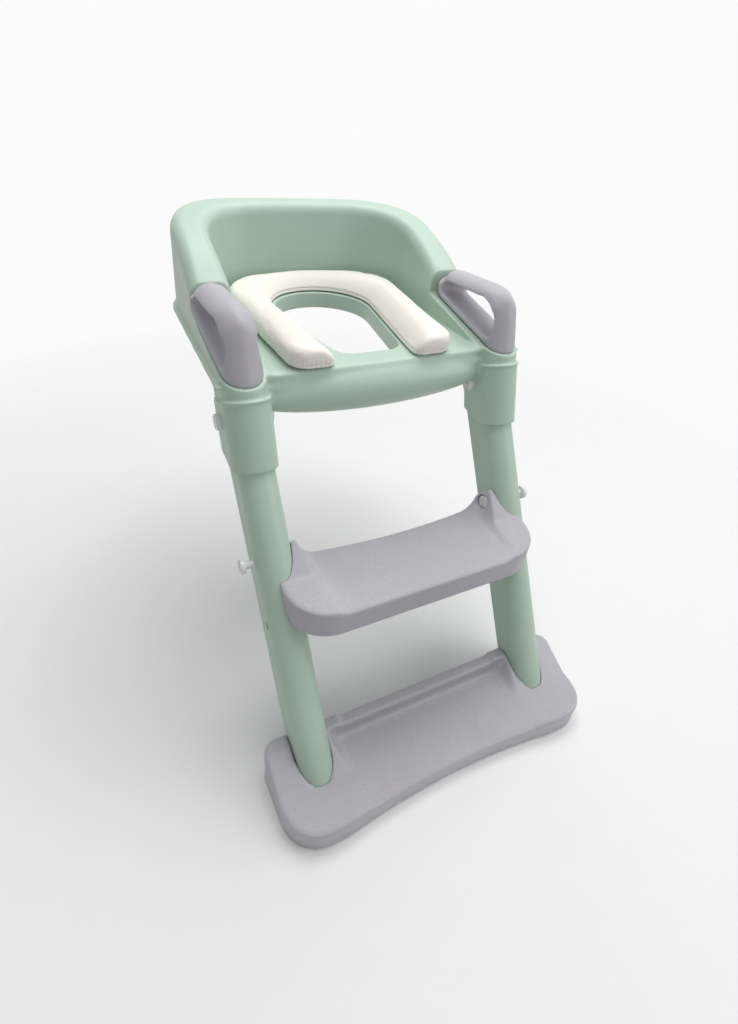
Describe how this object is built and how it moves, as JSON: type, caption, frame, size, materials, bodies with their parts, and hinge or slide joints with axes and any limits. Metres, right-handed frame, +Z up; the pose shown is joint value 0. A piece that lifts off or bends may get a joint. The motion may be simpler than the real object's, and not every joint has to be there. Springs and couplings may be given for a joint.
{
  "type": "potty training seat",
  "caption": "Padded toilet seat for a small child with a U-shaped backrest and loop handles, carried by a folding ladder with two steps.",
  "frame": {"origin": "on the floor, in the middle of the whole outline", "axes": "+X across the seat, +Y from the steps towards the backrest, +Z up"},
  "size_m": [0.3944, 0.5622, 0.486],
  "materials": {
    "shell": "satin moulded plastic, pale sage green",
    "grips": "fine-grained moulded plastic, light grey",
    "cushion": "soft smooth cushion cover, cream white",
    "cushion_base": "plain moulded plastic, off-white",
    "strip": "pale matt anti-slip rubber",
    "bolts": "smooth white plastic",
    "screws": "plain zinc-plated steel"
  },
  "bodies": {
    "seat": {"seat_shell": "shell", "handle_left": "grips", "handle_right": "grips", "handle_screws": "screws", "pivot_bolt_left": "bolts", "pivot_bolt_right": "bolts", "pivot_nut_left": "bolts", "pivot_nut_right": "bolts"},
    "cushion": {"seat_cushion": "cushion", "cushion_pegs": "cushion_base"},
    "ladder": {"leg_left": "shell", "leg_right": "shell", "middle_step": "grips", "base_step": "grips", "base_strip": "strip", "foot_screws": "screws", "step_bolt_left": "bolts", "step_bolt_right": "bolts", "step_nut_left": "bolts", "step_nut_right": "bolts"}
  },
  "joints": [
    {"name": "ladder_fold", "type": "hinge", "parent": "seat", "child": "ladder", "pos_m": [0, -0.00847, 0.34709], "axis": [1, 0, 0], "range_deg": [0, 112]},
    {"name": "cushion_lift", "type": "slide", "parent": "seat", "child": "cushion", "axis": [0, 0, 1], "range_m": [0, 0.03]}
  ]
}
